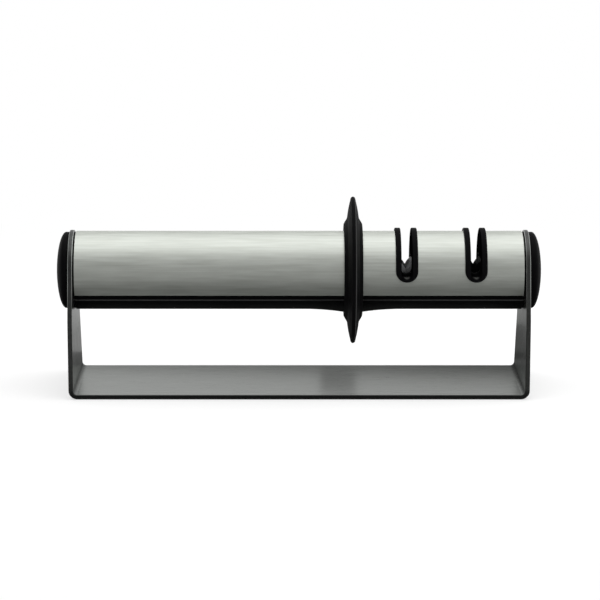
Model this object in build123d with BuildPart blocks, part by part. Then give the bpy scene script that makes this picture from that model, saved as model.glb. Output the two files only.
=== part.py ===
"""Pull-through knife sharpener: a round steel handle with a finger guard and two knife slots, carried
between the legs of a bent strap stand. Millimetres, X along the handle, Y to the back, +Z up, with the
origin on the worktop under the middle of the handle."""

import os
from math import acos, atan2, cos, degrees, hypot, sin, sqrt

from build123d import *

os.makedirs("parts", exist_ok=True)

# Handle: a steel sleeve on each side of the guard, over a plastic core with a keel below
handle_length = 227.4
tube_diameter = 40
sleeve_wall = 0.8
sleeve_edge_drop = 9.9
sleeve_lip_reach = 2.4
sleeve_gap = 0.1
keel_edge_drop = 12.2
keel_corner_radius = 0.5
keel_flare_rise = 1.5
keel_flare_length = 20

# Finger guard, a disc on a collar
guard_to_slot = 26.85
guard_diameter = 75
guard_root_thickness = 5.9
guard_root_rise = 3
guard_root_radius = 3
guard_rim_thickness = 2.5
guard_rim_depth = 1.5
guard_side_bulge = 0.18
collar_width = 9.4
collar_height = 3.7
collar_corner_radius = 0.8

# Core of the grip, and the joint through the guard
grip_bore_diameter = 28
spigot_diameter = 25
spigot_depth = 5.6
spigot_gap = 0.1
bulkhead_web = 4
end_plug_length = 12
end_plug_gap = 0.1
joining_circle_diameter = 15
joining_screw_diameter = 3.5
joining_screw_bite = 10
joining_head_diameter = 6.6
joining_head_height = 2.2
joining_screw_count = 3

# Stand: a bent strap with round leg ends, on a thin pad
axis_rise = 57.8
base_depth = 66
strap_thickness = 2.3
strap_edge_radius = 0.3
bend_radius = 2.1
foot_corner_radius = 12
leg_end_margin = 0.5
leg_set = 0.7
leg_set_margin = 2
leg_set_radius = 80
pad_thickness = 0.3
pad_setback = 6
pad_corner_radius = 6
spacer_thickness = 0.9
spacer_inset = 0.5

# Screws that hold the stand, and the caps over them
stand_screw_offset = 9
stand_screw_diameter = 4
stand_screw_bite = 7
stand_head_diameter = 7.6
stand_head_height = 2.4
screw_gap = 0.05
drive_across = 2.5
drive_depth = 1.2
cap_inset = 0.5
cap_rim_height = 2
cap_dome_height = 4.7
cap_roof = 3.2
cap_recess_inset = 4
cap_peg_diameter = 5
cap_peg_reach = 8
cap_peg_gap = 0.05

# Knife slots and their trims
slot_to_end = 24.25
slot_pitch = 35
slot_width = 5.5
slot_bottom_drop = 0.75
trim_side = 2.85
trim_bottom = 1.7
trim_proud = 1.6
trim_edge_radius = 0.5
trim_seat_gap = 0.03
liner_wall = 1.2
liner_gap = 0.1
liner_lift = 0.7

# Sharpening rollers with their axles, washers and cradles
roller_diameter = 16
disc_overlap = 1
axle_drop = 0.9
axle_diameter = 3
axle_fit = 0.02
axle_running_gap = 0.05
disc_clearance = 0.4
disc_chamfer = 0.15
coarse_disc_thickness = 1.4
coarse_disc_count = 4
fine_disc_thickness = 1
fine_disc_count = 5
washer_diameter = 7
washer_thickness = 0.4
washer_gap = 0.05
cradle_wall = 2
cradle_floor = 1.6
cradle_gap = 0.1
cradle_head_gap = 0.3
roller_end_gap = 0.25
roller_floor_gap = 0.5
notch_drop = 1.9

# One overrun serves every cut
overrun = 1

tube_radius = tube_diameter / 2
core_radius = tube_radius - sleeve_wall - sleeve_gap
handle_end = handle_length / 2
axis_z = pad_thickness + strap_thickness + axis_rise
handle_axis = Axis((0, 0, axis_z), (1, 0, 0))
lip_inner = sqrt(tube_radius**2 - sleeve_edge_drop**2) - sleeve_lip_reach
fine_x = handle_end - slot_to_end
coarse_x = fine_x - slot_pitch
guard_x = coarse_x - guard_to_slot
guard_left = guard_x - collar_width / 2
guard_right = guard_x + collar_width / 2
guard_radius = guard_diameter / 2
collar_radius = tube_radius + collar_height
spigot_end = guard_left - spigot_depth
bulkhead_face = spigot_end - bulkhead_web
strap_inner = handle_end + spacer_thickness
strap_outer = strap_inner + strap_thickness
cap_radius = tube_radius - cap_inset
cap_recess_depth = cap_rim_height + cap_dome_height - cap_roof
trim_width = slot_width + 2 * trim_side
liner_width = slot_width + 2 * liner_wall
channel_width = liner_width + 2 * liner_gap
channel_bottom = -slot_bottom_drop - liner_wall - liner_gap
roller_radius = roller_diameter / 2
axle_spacing = roller_diameter - disc_overlap
roller_length = 2 * coarse_disc_count * (coarse_disc_thickness + disc_clearance) - disc_clearance
cradle_inner = roller_length / 2 + washer_thickness + 2 * washer_gap
cradle_outer = cradle_inner + cradle_wall
cradle_half = axle_spacing / 2 + roller_radius + roller_end_gap
cradle_floor_z = -axle_drop - roller_radius - roller_floor_gap
cradle_base_z = cradle_floor_z - cradle_floor
liner_floor_z = roller_radius - axle_drop + liner_lift
pocket_half = cradle_half + cradle_gap
pocket_depth = 2 * (cradle_outer + cradle_gap)
slots = {"coarse": coarse_x, "fine": fine_x}
sides = {"left": -1, "right": 1}


def across(x):
    """The plane across the handle at x, centred on its axis: its own x is Y and its own y is Z."""
    return Plane(origin=(x, 0, axis_z), x_dir=(0, 1, 0), z_dir=(1, 0, 0))


def along(y=0):
    """The upright plane along the handle at y, level with its axis: its own x is X, its own y is Z."""
    return Plane(origin=(0, y, axis_z), x_dir=(1, 0, 0), z_dir=(0, -1, 0))


def finish(piece, label):
    """Names a finished piece and writes it to its own file."""
    piece.part.label = label
    export_step(piece.part, f"parts/{label}.step")


def draw_round(radius, drop, up, mode=Mode.ADD):
    """The part of a circle above or below a level line that lies drop under its centre."""
    half = sqrt(radius**2 - drop**2)
    with BuildLine() as outline:
        ThreePointArc((half, -drop), (0, up * radius), (-half, -drop))
        Line((-half, -drop), (half, -drop))
    make_face(outline.edges(), mode=mode)


def draw_slot(x, width, bottom):
    """An upright slot with a round bottom, open past the top of the handle."""
    with Locations((x, bottom + width / 2)):
        Circle(width / 2)
        Rectangle(width, guard_diameter, align=(Align.CENTER, Align.MIN))


def draw_core():
    """The core's section: the keel, a neck between the sleeve's lips, and the round part in the sleeve."""
    shelf_drop = sleeve_edge_drop - sleeve_wall - sleeve_gap
    neck_height = keel_edge_drop + keel_corner_radius - shelf_drop
    draw_round(tube_radius, keel_edge_drop, -1)
    fillet(vertices(), keel_corner_radius)
    draw_round(core_radius, shelf_drop, 1)
    with Locations((0, -shelf_drop)):
        Rectangle(2 * (lip_inner - sleeve_gap), neck_height, align=(Align.CENTER, Align.MAX))


def draw_sleeve():
    """The sleeve's section: a round wall, open below, with a lip turned in along each edge."""
    lip_top = sleeve_edge_drop - sleeve_wall
    draw_round(tube_radius, sleeve_edge_drop, 1)
    draw_round(tube_radius - sleeve_wall, lip_top, 1, mode=Mode.SUBTRACT)
    with Locations((0, -lip_top)):
        Rectangle(2 * lip_inner, 2 * sleeve_wall, align=(Align.CENTER, Align.MAX), mode=Mode.SUBTRACT)


def add_keel_flare(face, away):
    """Lets the keel swell in a gentle curve to meet the guard; away is the X direction from the guard."""
    start = face + away * keel_flare_length
    root = tube_radius - keel_corner_radius
    half_angle = acos((keel_edge_drop + keel_corner_radius) / tube_radius)
    spoke = Plane(
        origin=(0, 0, axis_z),
        x_dir=(1, 0, 0),
        z_dir=(0, cos(half_angle), -sin(half_angle)),
    )
    with BuildSketch(spoke) as flare:
        with BuildLine():
            TangentArc((start, tube_radius), (face, tube_radius + keel_flare_rise), tangent=(-away, 0))
            Polyline(
                (face, tube_radius + keel_flare_rise), (face, root), (start, root), (start, tube_radius)
            )
        make_face()
    revolve(flare.sketch, axis=handle_axis, revolution_arc=degrees(2 * half_angle))


def bore(x, radius, depth, spots=((0, 0),)):
    """Cuts round holes along X from x, towards +X when depth is positive."""
    with BuildSketch(across(x)) as holes:
        with Locations(*spots):
            Circle(radius)
    extrude(holes.sketch, amount=depth, mode=Mode.SUBTRACT)


def add_screw(seat, inward, spots, head_diameter, head_height, shank_diameter, reach):
    """Round-headed screws with a hexagon drive; inward is the X direction of their shanks."""
    with BuildSketch(across(seat)) as heads:
        with Locations(*spots):
            Circle(head_diameter / 2)
    extrude(heads.sketch, amount=-inward * head_height)
    with BuildSketch(across(seat)) as shanks:
        with Locations(*spots):
            Circle(shank_diameter / 2)
    extrude(shanks.sketch, amount=inward * reach)
    with BuildSketch(across(seat - inward * head_height)) as drives:
        with Locations(*spots):
            RegularPolygon(drive_across / 2, 6, major_radius=False)
    extrude(drives.sketch, amount=inward * drive_depth, mode=Mode.SUBTRACT)


stand_spots = [(-stand_screw_offset, 0), (stand_screw_offset, 0)]
joining_spots = [
    tuple(place.position)[:2] for place in PolarLocations(joining_circle_diameter / 2, joining_screw_count, 90)
]
stand_hole = stand_screw_diameter / 2 + screw_gap
joining_hole = joining_screw_diameter / 2 + screw_gap
peg_hole = cap_peg_diameter / 2 + cap_peg_gap

# The stand: a strap bent into a U, its legs tapering to round ends on the handle's circle
leg_radius = tube_radius + leg_end_margin
leg_set_drop = leg_radius + leg_set_margin
corner = (base_depth / 2, bend_radius - axis_rise)
tangent_angle = atan2(corner[1], corner[0]) + acos(leg_radius / hypot(*corner))
tangent_point = (leg_radius * cos(tangent_angle), leg_radius * sin(tangent_angle))


def draw_strap_side(inset):
    """The U seen from the front, inset from its outer face; its feet stand inside its tops."""
    top_x = strap_outer - inset
    foot_x = top_x - leg_set
    foot_z = -axis_rise - strap_thickness + inset
    top_z = leg_radius + overrun
    with BuildLine() as outline:
        FilletPolyline(
            (-top_x, top_z),
            (-top_x, -leg_set_drop),
            (-foot_x, foot_z),
            (foot_x, foot_z),
            (top_x, -leg_set_drop),
            (top_x, top_z),
            radius=[
                leg_set_radius,
                bend_radius + strap_thickness - inset,
                bend_radius + strap_thickness - inset,
                leg_set_radius,
            ],
        )
        Line((top_x, top_z), (-top_x, top_z))
    return outline.edges()


with BuildPart() as stand_bracket:
    with BuildSketch(along()):
        make_face(draw_strap_side(0))
        make_face(draw_strap_side(strap_thickness), mode=Mode.SUBTRACT)
    extrude(amount=base_depth / 2, both=True)
    with BuildSketch(across(-strap_outer - overrun)):
        with BuildLine() as leg_outline:
            ThreePointArc(tangent_point, (0, leg_radius), (-tangent_point[0], tangent_point[1]))
            Polyline(
                (-tangent_point[0], tangent_point[1]),
                (-corner[0], corner[1]),
                (-corner[0], -axis_z),
                (corner[0], -axis_z),
                corner,
                tangent_point,
            )
        make_face(leg_outline.edges())
        fillet(vertices().group_by(Axis.Y)[1], foot_corner_radius)
    extrude(amount=2 * (strap_outer + overrun), mode=Mode.INTERSECT)
    rims = stand_bracket.edges().filter_by(Axis.Y, reverse=True)
    fillet(rims.filter_by(lambda e: e.length > strap_thickness + strap_edge_radius), strap_edge_radius)
    bore(-strap_outer - overrun, stand_hole, 2 * (strap_outer + overrun), stand_spots)
    bore(-strap_outer - overrun, peg_hole, 2 * (strap_outer + overrun))
finish(stand_bracket, "stand_bracket")

with BuildPart() as base_pad:
    with BuildSketch():
        Rectangle(2 * (strap_outer - leg_set - pad_setback), base_depth - 2 * pad_setback)
        fillet(vertices(), pad_corner_radius)
    extrude(amount=pad_thickness)
finish(base_pad, "base_pad")

# The grip: a hollow core, closed at its outer end by a plug that takes the stand's screws
with BuildPart() as grip_core:
    with BuildSketch(across(-handle_end)):
        draw_core()
    extrude(amount=handle_end + guard_left)
    add_keel_flare(guard_left, -1)
    bore(-handle_end, grip_bore_diameter / 2, handle_end + bulkhead_face)
    bore(guard_left, spigot_diameter / 2 + spigot_gap, -spigot_depth)
    bore(bulkhead_face, joining_hole, bulkhead_web, joining_spots)
finish(grip_core, "grip_core")

with BuildPart() as grip_end_plug:
    with BuildSketch(across(-handle_end)):
        Circle(grip_bore_diameter / 2 - end_plug_gap)
    extrude(amount=end_plug_length)
    bore(-handle_end, stand_hole, stand_screw_bite, stand_spots)
    bore(-handle_end, peg_hole, end_plug_length)
finish(grip_end_plug, "grip_end_plug")

with BuildPart() as grip_sleeve:
    with BuildSketch(across(-handle_end)):
        draw_sleeve()
    extrude(amount=handle_end + guard_left)
finish(grip_sleeve, "grip_sleeve")

# The finger guard, threaded on the spigot between the grip and the head
with BuildPart() as finger_guard:
    with BuildSketch(along()):
        with BuildLine() as guard_outline:
            hub = spigot_diameter / 2 + spigot_gap
            root_height = collar_radius + guard_root_rise
            rim_start = guard_radius - guard_rim_depth
            root_half = guard_root_thickness / 2
            rim_half = guard_rim_thickness / 2
            middle_half = (root_half + rim_half) / 2 + guard_side_bulge
            middle_height = (root_height + rim_start) / 2
            for sign in sides.values():
                Polyline(
                    (guard_x, hub),
                    (guard_x + sign * collar_width / 2, hub),
                    (guard_x + sign * collar_width / 2, collar_radius),
                    (guard_x + sign * root_half, root_height),
                )
                ThreePointArc(
                    (guard_x + sign * root_half, root_height),
                    (guard_x + sign * middle_half, middle_height),
                    (guard_x + sign * rim_half, rim_start),
                )
            ThreePointArc(
                (guard_x - rim_half, rim_start), (guard_x, guard_radius), (guard_x + rim_half, rim_start)
            )
        make_face()
        fillet(vertices().group_by(Axis.Y)[1], collar_corner_radius)
        fillet(vertices().group_by(Axis.Y)[-2], guard_root_radius)
    revolve(axis=handle_axis)
finish(finger_guard, "finger_guard")

# The head: a solid core with a pocket for each cradle and a channel for each slot's liner
with BuildPart() as head_chassis:
    with BuildSketch(across(guard_right)):
        draw_core()
    extrude(amount=handle_end - guard_right)
    add_keel_flare(guard_right, 1)
    with BuildSketch(across(spigot_end)):
        Circle(spigot_diameter / 2)
    extrude(amount=guard_right - spigot_end)
    for slot_x in slots.values():
        with BuildSketch(along()):
            with Locations((slot_x, cradle_base_z)):
                Rectangle(2 * pocket_half, guard_diameter, align=(Align.CENTER, Align.MIN))
        extrude(amount=pocket_depth / 2, both=True, mode=Mode.SUBTRACT)
        with BuildSketch(along()):
            draw_slot(slot_x, channel_width, channel_bottom)
        extrude(amount=guard_radius, both=True, mode=Mode.SUBTRACT)
    bore(spigot_end, joining_hole, joining_screw_bite, joining_spots)
    bore(handle_end, stand_hole, -stand_screw_bite, stand_spots)
    bore(handle_end, peg_hole, -(cap_peg_reach - spacer_thickness - strap_thickness))
finish(head_chassis, "head_chassis")

with BuildPart() as head_sleeve:
    with BuildSketch(across(guard_right)):
        draw_sleeve()
    extrude(amount=handle_end - guard_right)
    with BuildSketch(along()):
        for slot_x in slots.values():
            draw_slot(slot_x, channel_width, channel_bottom)
    extrude(amount=guard_radius, both=True, mode=Mode.SUBTRACT)
finish(head_sleeve, "head_sleeve")

with BuildPart() as joining_screws:
    add_screw(
        bulkhead_face,
        1,
        joining_spots,
        joining_head_diameter,
        joining_head_height,
        joining_screw_diameter,
        bulkhead_web + joining_screw_bite,
    )
finish(joining_screws, "joining_screws")

# Both ends: a thin spacer, the strap's leg, two screws, and a domed cap over them
with BuildPart() as stand_screws:
    for sign in sides.values():
        add_screw(
            sign * strap_outer,
            -sign,
            stand_spots,
            stand_head_diameter,
            stand_head_height,
            stand_screw_diameter,
            strap_thickness + spacer_thickness + stand_screw_bite,
        )
finish(stand_screws, "stand_screws")

for side, sign in sides.items():
    with BuildPart() as end_spacer:
        with BuildSketch(across(sign * handle_end)):
            Circle(tube_radius - spacer_inset)
        extrude(amount=sign * spacer_thickness)
        bore(sign * handle_end, stand_hole, sign * spacer_thickness, stand_spots)
        bore(sign * handle_end, peg_hole, sign * spacer_thickness)
    finish(end_spacer, f"end_spacer_{side}")

with BuildPart() as end_cap_right:
    with BuildSketch(along()):
        with BuildLine():
            rim_x = strap_outer + cap_rim_height
            EllipticalCenterArc((rim_x, 0), cap_dome_height, cap_radius, start_angle=0, arc_size=90)
            Polyline(
                (rim_x + cap_dome_height, 0), (strap_outer, 0), (strap_outer, cap_radius), (rim_x, cap_radius)
            )
        make_face()
    revolve(axis=handle_axis)
    bore(strap_outer, cap_radius - cap_recess_inset, cap_recess_depth)
    with BuildSketch(across(strap_outer - cap_peg_reach)):
        Circle(cap_peg_diameter / 2)
    extrude(amount=cap_peg_reach + cap_recess_depth)
finish(end_cap_right, "end_cap_right")

with BuildPart() as end_cap_left:
    mirror(end_cap_right.part, about=Plane.YZ)
finish(end_cap_left, "end_cap_left")

# Each slot: a liner inside the tube, and the raised trim that frames it on the outside
for grade, slot_x in slots.items():
    with BuildPart() as liner:
        with BuildSketch(along()):
            draw_slot(slot_x, liner_width, -slot_bottom_drop - liner_wall)
        extrude(amount=guard_radius, both=True)
        with BuildSketch(across(slot_x)):
            Circle(tube_radius + trim_proud / 2)
        extrude(amount=liner_width, both=True, mode=Mode.INTERSECT)
        with BuildSketch(across(slot_x)):
            with Locations((0, liner_floor_z)):
                Rectangle(pocket_depth + 2 * liner_gap, guard_diameter, align=(Align.CENTER, Align.MAX))
        extrude(amount=liner_width, both=True, mode=Mode.SUBTRACT)

    with BuildPart() as slot_trim:
        with BuildSketch(along()):
            draw_slot(slot_x, trim_width, -slot_bottom_drop - trim_bottom)
        extrude(amount=guard_radius, both=True)
        with BuildSketch(across(slot_x)):
            Circle(tube_radius + trim_proud)
        extrude(amount=trim_width, both=True, mode=Mode.INTERSECT)
        with BuildSketch(across(slot_x)):
            Circle(tube_radius + trim_seat_gap)
        extrude(amount=trim_width, both=True, mode=Mode.SUBTRACT)
        add(liner.part)
        with BuildSketch(along()):
            draw_slot(slot_x, slot_width, -slot_bottom_drop)
        extrude(amount=guard_radius, both=True, mode=Mode.SUBTRACT)
        crests = slot_trim.edges().filter_by(
            lambda e: hypot((e @ 0.5).Y, (e @ 0.5).Z - axis_z) > tube_radius + trim_proud / 2
        )
        fillet(crests, trim_edge_radius)
    finish(slot_trim, f"{grade}_slot_trim")

# Each cradle holds two axles, and the knife passes through the notch in its walls
notch_bottom = sqrt(roller_radius**2 - (axle_spacing / 2) ** 2) - axle_drop - notch_drop
discs = {
    "coarse": (coarse_disc_thickness, coarse_disc_count),
    "fine": (fine_disc_thickness, fine_disc_count),
}
for grade, slot_x in slots.items():
    with BuildPart() as cradle:
        with BuildSketch(across(slot_x)):
            with Locations((0, cradle_base_z)):
                wall_height = liner_floor_z - cradle_head_gap - cradle_base_z
                Rectangle(2 * cradle_outer, wall_height, align=(Align.CENTER, Align.MIN))
            with Locations((0, cradle_floor_z)):
                Rectangle(
                    2 * cradle_inner,
                    guard_diameter,
                    align=(Align.CENTER, Align.MIN),
                    mode=Mode.SUBTRACT,
                )
        extrude(amount=cradle_half, both=True)
        with BuildSketch(along()):
            draw_slot(slot_x, slot_width, notch_bottom)
            with Locations((slot_x - axle_spacing / 2, -axle_drop), (slot_x + axle_spacing / 2, -axle_drop)):
                Circle(axle_diameter / 2 + axle_fit)
        extrude(amount=guard_radius, both=True, mode=Mode.SUBTRACT)
    finish(cradle, f"{grade}_cradle")

    for side, sign in sides.items():
        axle_x = slot_x + sign * axle_spacing / 2
        with BuildPart() as axle:
            with BuildSketch(along()):
                with Locations((axle_x, -axle_drop)):
                    Circle(axle_diameter / 2)
            extrude(amount=cradle_outer, both=True)
        finish(axle, f"{grade}_axle_{side}")

        thickness, count = discs[grade]
        pitch = thickness + disc_clearance
        stack_start = -(count * pitch - disc_clearance / 2) + (pitch if side == "right" else 0)
        with BuildPart() as roller:
            with BuildSketch(along()):
                with Locations((axle_x, -axle_drop)):
                    Circle(axle_spacing - roller_radius - disc_clearance)
            extrude(amount=roller_length / 2, both=True)
            for i in range(count):
                with BuildSketch(along(stack_start + 2 * i * pitch)):
                    with Locations((axle_x, -axle_drop)):
                        Circle(roller_radius)
                extrude(amount=-thickness)
            rims = roller.edges().filter_by(GeomType.CIRCLE).group_by(SortBy.RADIUS)[-1]
            chamfer(rims, disc_chamfer)
            with BuildSketch(along()):
                with Locations((axle_x, -axle_drop)):
                    Circle(axle_diameter / 2 + axle_running_gap)
            extrude(amount=guard_radius, both=True, mode=Mode.SUBTRACT)
        finish(roller, f"{grade}_roller_{side}")

# Thin washers keep the ends of the rollers off the cradles' walls
with BuildPart() as roller_washers:
    for end in sides.values():
        near = end * (roller_length / 2 + washer_gap)
        with BuildSketch(along(near)):
            for slot_x in slots.values():
                with Locations(
                    (slot_x - axle_spacing / 2, -axle_drop), (slot_x + axle_spacing / 2, -axle_drop)
                ):
                    Circle(washer_diameter / 2)
                    Circle(axle_diameter / 2 + axle_running_gap, mode=Mode.SUBTRACT)
        extrude(amount=-end * washer_thickness)
finish(roller_washers, "roller_washers")
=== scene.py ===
# %% [markdown]
# # A pull-through knife sharpener
# A round steel handle lies between the legs of a bent strap. The hand goes through the loop under the
# handle, behind a black guard, and the knife is drawn through one of two upright slots on the right.
# The frame brings in the construction at its real size. Every finish, and every shape that shows well, is
# made here: all of it in metres, with X along the handle, Y to the back and Z up.

from math import atan, atan2, cos, pi, radians, sin, sqrt, tan

import bmesh
import bpy
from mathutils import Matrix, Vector


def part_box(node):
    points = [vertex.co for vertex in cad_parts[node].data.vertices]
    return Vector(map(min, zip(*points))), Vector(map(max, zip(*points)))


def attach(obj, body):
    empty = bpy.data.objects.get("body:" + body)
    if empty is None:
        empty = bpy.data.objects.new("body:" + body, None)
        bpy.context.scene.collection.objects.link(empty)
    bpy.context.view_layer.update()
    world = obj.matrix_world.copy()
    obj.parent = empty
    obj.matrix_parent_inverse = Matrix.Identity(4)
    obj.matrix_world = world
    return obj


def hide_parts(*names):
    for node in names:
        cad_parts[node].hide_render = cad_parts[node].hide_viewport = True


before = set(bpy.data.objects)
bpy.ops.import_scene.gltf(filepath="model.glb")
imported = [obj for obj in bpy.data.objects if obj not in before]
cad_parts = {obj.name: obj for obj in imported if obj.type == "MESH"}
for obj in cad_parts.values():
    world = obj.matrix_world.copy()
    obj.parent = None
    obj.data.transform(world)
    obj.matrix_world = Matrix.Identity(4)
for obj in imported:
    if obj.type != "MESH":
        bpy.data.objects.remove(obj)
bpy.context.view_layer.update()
MM = 0.001
print("pieces in the frame:", len(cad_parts))

# %% [markdown]
# ## Where things are
# Nothing that the frame knows is typed again: the handle's axis, its radius, the ends of the guard and the
# strap's thickness are read from the boxes of the frame's own pieces, so the looks stay on the
# construction if that changes.

# %% Places read from the frame
strap_low, strap_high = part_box("stand_bracket")
guard_low, guard_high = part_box("finger_guard")
_, sleeve_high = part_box("head_sleeve")
cap_low, cap_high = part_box("end_cap_right")
_, spacer_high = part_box("end_spacer_right")
axis_z = (guard_low.z + guard_high.z) / 2
guard_x = (guard_low.x + guard_high.x) / 2
guard_radius = (guard_high.z - guard_low.z) / 2
tube_radius = sleeve_high.z - axis_z
strap_outer = strap_high.x
strap_thickness = strap_outer - spacer_high.x
print(f"axis at {axis_z / MM:.1f} mm, tube {2 * tube_radius / MM:.1f} mm across")
print(f"strap {strap_thickness / MM:.1f} mm thick, {2 * strap_outer / MM:.1f} mm over the legs")

# %% [markdown]
# ## The camera
# The photograph was taken from far away, a little above the handle, with a long lens: the near and the far
# edge of the base differ by only a few percent in width. It also stood about 1 cm left of the middle, so
# the near edge of each leg lies a little further right of the far edge than it would from the middle, and
# the frame is shifted to bring the part back to its centre. Distance, pitch and step aside were worked out
# from the strap's near and far edges, and the focal length from the height of the handle.

# %% Camera at the photograph's angle
PICTURE_PX = 600
FOCAL_PX = 2631
SENSOR_MM = 36
CAMERA_DISTANCE = 1350 * MM
CAMERA_PITCH = radians(11.82)
STEP_LEFT = 9.6 * MM
AIM_RIGHT, AIM_UNDER_AXIS = 0.6 * MM, 15.76 * MM


def add_object(name, data):
    """Puts an object with this mesh, lamp or camera into the scene."""
    made = bpy.data.objects.new(name, data)
    bpy.context.scene.collection.objects.link(made)
    return made


camera_data = bpy.data.cameras.new("camera")
camera_data.sensor_width = SENSOR_MM
camera_data.lens = SENSOR_MM * FOCAL_PX / PICTURE_PX
camera_data.shift_x = STEP_LEFT * FOCAL_PX / CAMERA_DISTANCE / PICTURE_PX
camera = add_object("camera", camera_data)
aim = Vector((AIM_RIGHT - STEP_LEFT, 0, axis_z - AIM_UNDER_AXIS))
camera.location = aim + CAMERA_DISTANCE * Vector((0, -cos(CAMERA_PITCH), sin(CAMERA_PITCH)))
camera.rotation_euler = (pi / 2 - CAMERA_PITCH, 0, 0)
bpy.context.scene.camera = camera
bpy.context.scene.view_settings.view_transform = "Standard"
print(f"lens {camera_data.lens:.0f} mm, {CAMERA_DISTANCE:.2f} m away, shift {camera_data.shift_x:.3f}")


# %% [markdown]
# ## Helpers for materials
# Colours are written as sRGB hex values, and the shader wants linear light, so one function turns them.
# Another adds a node with its settings and its links in one go, which keeps a recipe readable. The rest
# makes a material around one Principled shader and links what feeds it.

# %% Colour and node helpers
def linear(hex_colour):
    """An sRGB hex colour as linear RGBA."""
    channels = [int(hex_colour[i:i + 2], 16) / 255 for i in (1, 3, 5)]
    return [c / 12.92 if c <= 0.04045 else ((c + 0.055) / 1.055) ** 2.4 for c in channels] + [1]


def add_node(owner, kind, inputs=(), **settings):
    """Adds a node to a material or the world.

    Settings are the node's attributes, or else inputs by name. Inputs are pairs of a name or number and
    either a socket to link or a value.
    """
    node = owner.node_tree.nodes.new(kind)
    for name, value in settings.items():
        if hasattr(node, name):
            setattr(node, name, value)
        else:
            node.inputs[name.replace("_", " ")].default_value = value
    for name, value in inputs:
        if isinstance(value, bpy.types.NodeSocket):
            owner.node_tree.links.new(value, node.inputs[name])
        else:
            node.inputs[name].default_value = value
    return node


def shader_of(material):
    """The material's Principled shader."""
    return material.node_tree.nodes["Principled BSDF"]


def new_material(name, **sockets):
    """A material with one Principled shader, its sockets set."""
    material = bpy.data.materials.new(name)
    material.use_nodes = True
    for socket, value in sockets.items():
        shader_of(material).inputs[socket.replace("_", " ")].default_value = value
    return material


def feed_shader(material, **sockets):
    """Links each socket to the Principled shader's input of that name."""
    for name, socket in sockets.items():
        material.node_tree.links.new(socket, shader_of(material).inputs[name.replace("_", " ")])


def set_surface(owner, shader, output="Material Output"):
    """Makes this shader the surface of a material, or of the world."""
    owner.node_tree.links.new(shader.outputs[0], owner.node_tree.nodes[output].inputs["Surface"])


print(f"middle grey #808080 is {linear('#808080')[0]:.3f} in linear light")

# %% [markdown]
# ## Floor, lamp and room
# The picture is lit like most pictures of bright metal: one broad soft box above the handle and a little
# behind it, and pale surroundings for the steel to mirror. The floor under the part is an ordinary pale
# surface that takes its shadow. To the camera and to reflections it is partly plain white, as under a bright
# sweep, so its shadow is faint, and further out it is all white, like the room behind.

# %% The floor
FLOOR_REACH = 20
WHITE = (1, 1, 1, 1)
floor_data = bpy.data.meshes.new("floor")
sheet = bmesh.new()
bmesh.ops.create_grid(sheet, x_segments=1, y_segments=1, size=FLOOR_REACH)
sheet.to_mesh(floor_data)
sheet.free()
floor = add_object("floor", floor_data)
floor_paint = new_material("floor", Base_Color=linear("#f4f4f4"), Roughness=0.9)
floor_data.materials.append(floor_paint)
print(f"floor {floor.dimensions.x:.0f} m wide")

# %% [markdown]
# The white share grows from 20 cm to half a metre away from the part. It only counts for the rays that
# Light Path calls camera, glossy or transmission rays, so diffuse light still comes from an ordinary floor.

# %% White distance of the floor
FADE_START, FADE_END = 0.2, 0.5
NEAR_WHITE = 0.6
floor_place = add_node(floor_paint, "ShaderNodeTexCoord")
from_part = add_node(
    floor_paint, "ShaderNodeVectorMath", [(0, floor_place.outputs["Object"])], operation="LENGTH"
)
whitened = add_node(
    floor_paint,
    "ShaderNodeMapRange",
    [("Value", from_part.outputs["Value"])],
    interpolation_type="SMOOTHSTEP",
    From_Min=FADE_START,
    From_Max=FADE_END,
    To_Min=NEAR_WHITE,
)
floor_rays = add_node(floor_paint, "ShaderNodeLightPath").outputs
seen_or_mirrored = add_node(
    floor_paint,
    "ShaderNodeMath",
    [(0, floor_rays["Is Camera Ray"]), (1, floor_rays["Is Glossy Ray"])],
    operation="ADD",
)
seen_at_all = add_node(
    floor_paint,
    "ShaderNodeMath",
    [(0, seen_or_mirrored.outputs[0]), (1, floor_rays["Is Transmission Ray"])],
    operation="ADD",
    use_clamp=True,
)
white_share = add_node(
    floor_paint,
    "ShaderNodeMath",
    [(0, whitened.outputs["Result"]), (1, seen_at_all.outputs[0])],
    operation="MULTIPLY",
)
plain_white = add_node(floor_paint, "ShaderNodeEmission", Color=WHITE, Strength=1)
floor_look = add_node(
    floor_paint,
    "ShaderNodeMixShader",
    [(0, white_share.outputs[0]), (1, shader_of(floor_paint).outputs[0]), (2, plain_white.outputs[0])],
)
set_surface(floor_paint, floor_look)
print(f"floor {NEAR_WHITE:.0%} white near the part, all white from {FADE_END} m on")

# %% [markdown]
# The room is grey in front, a little lighter to the right than to the left, and white behind the part, as
# it is before a white sweep. Diffuse light only needs the room's middle level; the directions matter for
# what the metal mirrors.

# %% The room that metal mirrors
ROOM_LEVEL = 0.45
LEFT_LEVEL, RIGHT_LEVEL = 0.4, 1.06
SIDE_REACH, BACK_REACH = 0.7, 0.6
world = bpy.data.worlds.new("room")
world.use_nodes = True
bpy.context.scene.world = world
looking = add_node(world, "ShaderNodeTexCoord")
direction = add_node(world, "ShaderNodeSeparateXYZ", [("Vector", looking.outputs["Generated"])])
sideways = add_node(
    world,
    "ShaderNodeMapRange",
    [("Value", direction.outputs["X"])],
    From_Min=-SIDE_REACH,
    From_Max=SIDE_REACH,
    To_Min=LEFT_LEVEL,
    To_Max=RIGHT_LEVEL,
)
backwards = add_node(
    world,
    "ShaderNodeMapRange",
    [("Value", direction.outputs["Y"])],
    interpolation_type="SMOOTHSTEP",
    From_Min=0,
    From_Max=BACK_REACH,
)
level = add_node(
    world,
    "ShaderNodeMix",
    [("Factor", backwards.outputs["Result"]), ("A", sideways.outputs["Result"]), ("B", 1)],
)
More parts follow.
